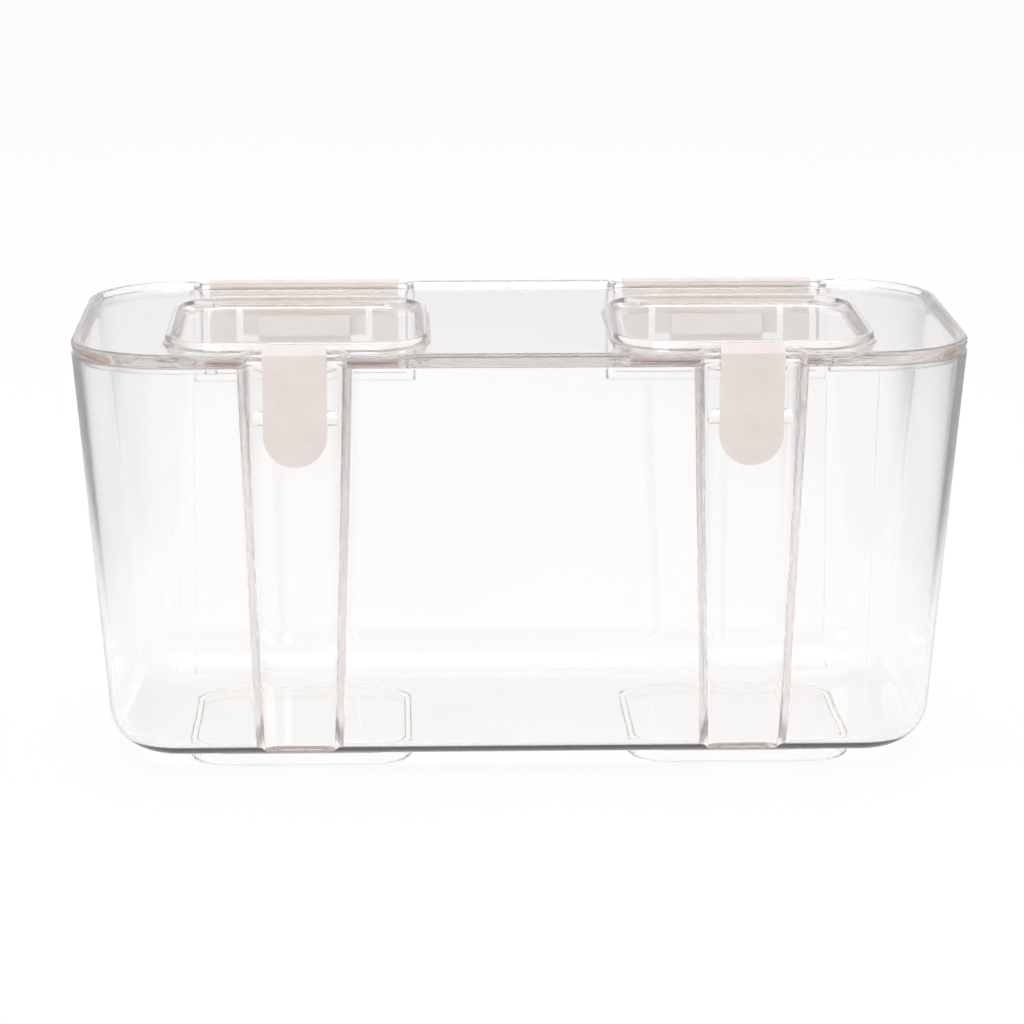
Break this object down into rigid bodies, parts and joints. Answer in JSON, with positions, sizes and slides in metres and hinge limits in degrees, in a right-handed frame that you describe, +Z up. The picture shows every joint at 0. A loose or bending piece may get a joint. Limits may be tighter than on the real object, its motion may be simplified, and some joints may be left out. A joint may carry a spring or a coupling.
{
  "type": "desk organizer box with hinged lid",
  "caption": "Clear stackable desk organizer: tapered tub with a hinged lid held shut by front snap latches.",
  "frame": {"origin": "under the middle of the object's bounding box, in the plane of the feet's undersides", "axes": "+X to the object's right seen from the front, +Y to the rear where the lid is hinged, +Z up"},
  "size_m": [0.224, 0.1108, 0.1108],
  "materials": {
    "clear_plastic": "crystal clear injection-moulded plastic, polished",
    "latch_plastic": "frosted milky translucent soft plastic",
    "hinge_plastic": "frosted grey-beige translucent soft plastic"
  },
  "bodies": {
    "tub": {"tub": "clear_plastic", "hinge_left": "hinge_plastic", "hinge_right": "hinge_plastic"},
    "lid": {"lid": "clear_plastic"},
    "latch_left": {"latch_left": "latch_plastic"},
    "latch_right": {"latch_right": "latch_plastic"}
  },
  "joints": [
    {"name": "lid_hinge", "type": "hinge", "parent": "tub", "child": "lid", "pos_m": [0, 0.0534, 0.1073], "axis": [-1, 0, 0], "range_deg": [0, 110]},
    {"name": "latch_left_pivot", "type": "hinge", "parent": "lid", "child": "latch_left", "pos_m": [-0.0559, -0.0524, 0.1074], "axis": [-1, 0, 0], "range_deg": [0, 170]},
    {"name": "latch_right_pivot", "type": "hinge", "parent": "lid", "child": "latch_right", "pos_m": [0.0559, -0.0524, 0.1074], "axis": [-1, 0, 0], "range_deg": [0, 170]}
  ]
}
